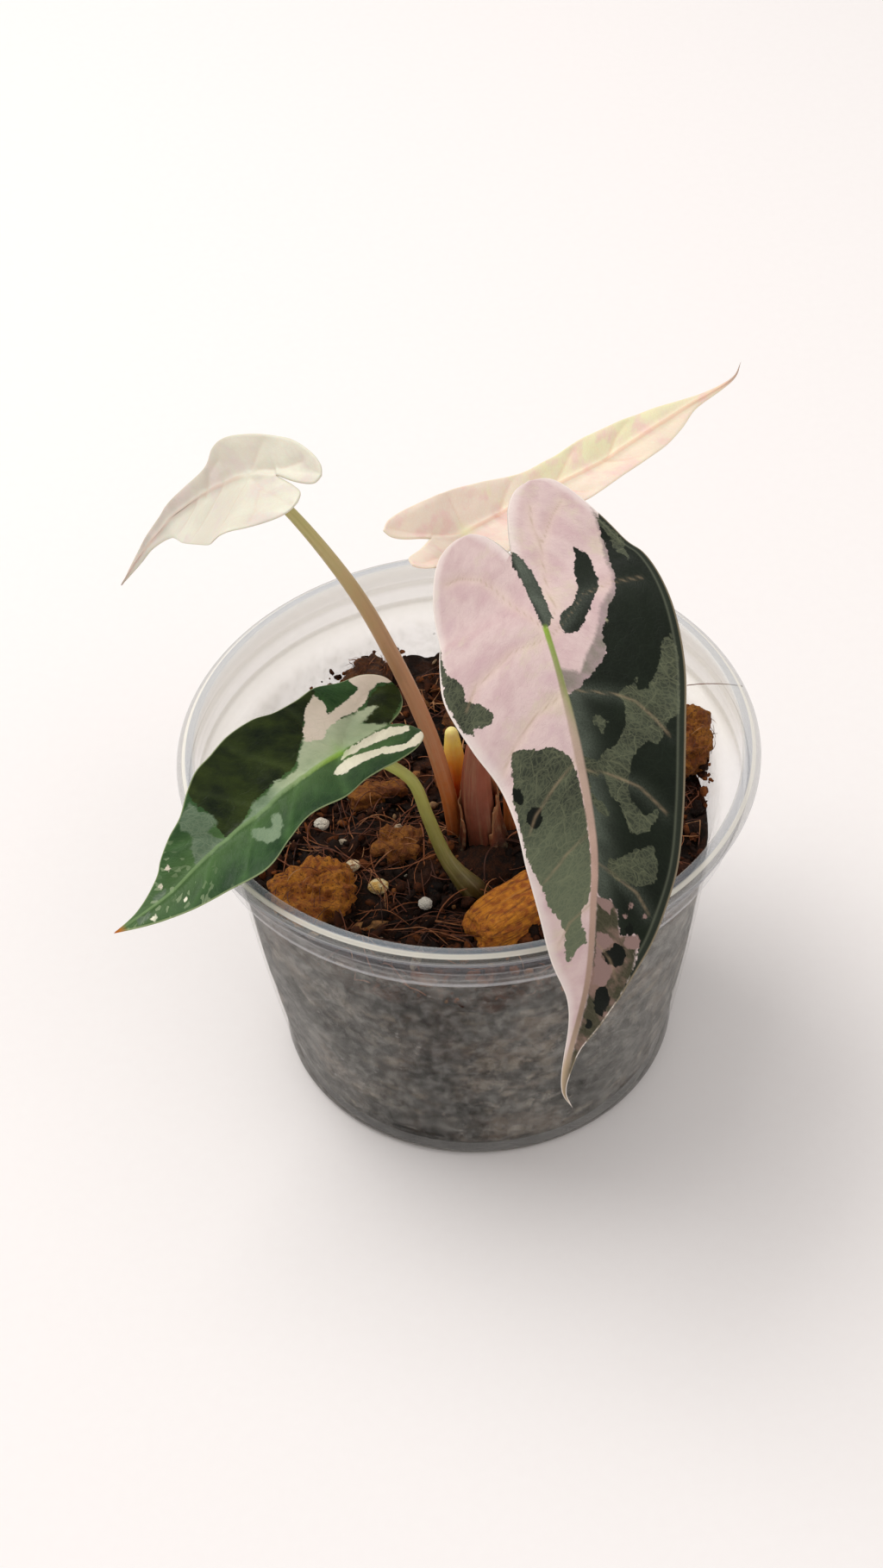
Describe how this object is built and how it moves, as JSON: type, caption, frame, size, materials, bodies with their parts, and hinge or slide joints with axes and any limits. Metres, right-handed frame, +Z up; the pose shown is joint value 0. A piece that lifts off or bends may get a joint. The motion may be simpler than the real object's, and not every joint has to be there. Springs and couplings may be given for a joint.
{
  "type": "potted alocasia plant",
  "caption": "Small variegated alocasia with arrow-shaped leaves on slim stalks, growing in a clear round moulded cup of chunky potting mix.",
  "frame": {"origin": "centre of the cup's flat foot", "axes": "+Z up from the foot through the rim, -Y towards the side where the large leaf hangs, +X to the viewer's right"},
  "size_m": [0.1279, 0.13, 0.1588],
  "materials": {
    "cup_plastic": "thin cloudy clear plastic, smooth and a little scuffed",
    "potting_mix": "damp dark mix of bark, coir and crumbs",
    "corm_skin": "rough brown-green corm skin",
    "shoot_skin": "smooth yellow shoot with an orange base",
    "green_stalk": "smooth yellow-green stalk",
    "tan_stalk": "smooth stalk, olive at the top and pink-brown below",
    "red_stalk": "smooth reddish stalk with a ribbed sheath",
    "pink_dark_leaf": "satin leaf, pale pink and near-black green patches with silver veins",
    "green_leaf": "satin dark green leaf with cream and grey-green patches",
    "white_leaf": "thin cream-white leaf with faint pink veins",
    "blush_leaf": "thin pale yellow and blush leaf",
    "coconut_husk": "fibrous orange-brown husk",
    "perlite": "chalky white grain"
  },
  "bodies": {
    "root": {"pot": "cup_plastic", "potting_mix": "potting_mix", "corm": "corm_skin", "new_shoot": "shoot_skin", "left_leaf_stalk": "green_stalk", "back_left_leaf_stalk": "tan_stalk", "front_leaf_stalk": "red_stalk", "back_right_leaf_stalk": "tan_stalk", "front_leaf_blade": "pink_dark_leaf", "left_leaf_blade": "green_leaf", "back_left_leaf_blade": "white_leaf", "back_right_leaf_blade": "blush_leaf", "husk_chip_1": "coconut_husk", "husk_chip_2": "coconut_husk", "husk_chip_3": "coconut_husk", "husk_chip_4": "coconut_husk", "husk_chip_5": "coconut_husk", "husk_chip_6": "coconut_husk", "husk_chip_7": "coconut_husk", "husk_chip_8": "coconut_husk", "husk_chip_9": "coconut_husk", "husk_chip_10": "coconut_husk", "perlite_grain_1": "perlite", "perlite_grain_2": "perlite", "perlite_grain_3": "perlite", "perlite_grain_4": "perlite", "perlite_grain_5": "perlite", "perlite_grain_6": "perlite"}
  },
  "joints": []
}
